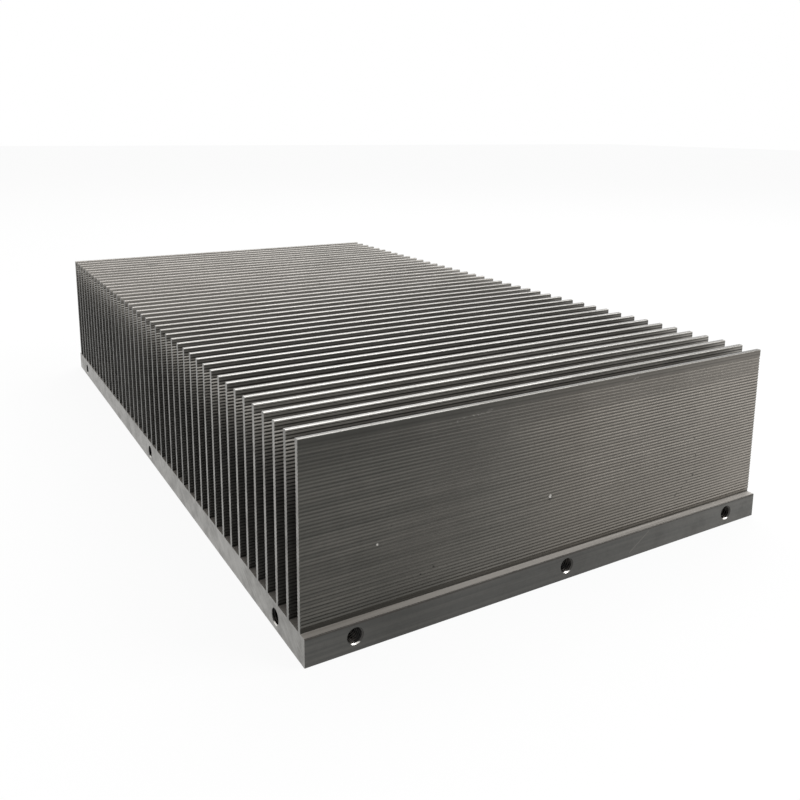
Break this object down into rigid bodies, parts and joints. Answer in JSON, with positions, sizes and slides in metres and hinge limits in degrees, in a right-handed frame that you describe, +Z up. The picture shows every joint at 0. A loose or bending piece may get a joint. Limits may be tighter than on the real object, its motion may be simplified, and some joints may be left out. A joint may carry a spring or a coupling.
{
  "type": "extruded heat sink",
  "caption": "Wide aluminium heat sink extruded in one piece: a flat base with a row of tall, finely ridged fins, sawn to length and tapped along one side and one end.",
  "frame": {"origin": "centre of the base's flat underside, which is the face that the heat source is bolted to", "axes": "+X across the fins towards the tapped side of the base, +Y along the extrusion away from the tapped end, +Z up from the base to the fin tips"},
  "size_m": [0.377, 0.21, 0.0735],
  "materials": {
    "mill_aluminium": "mill finish, as extruded and sawn"
  },
  "bodies": {
    "root": {"heat_sink": "mill_aluminium"}
  },
  "joints": []
}
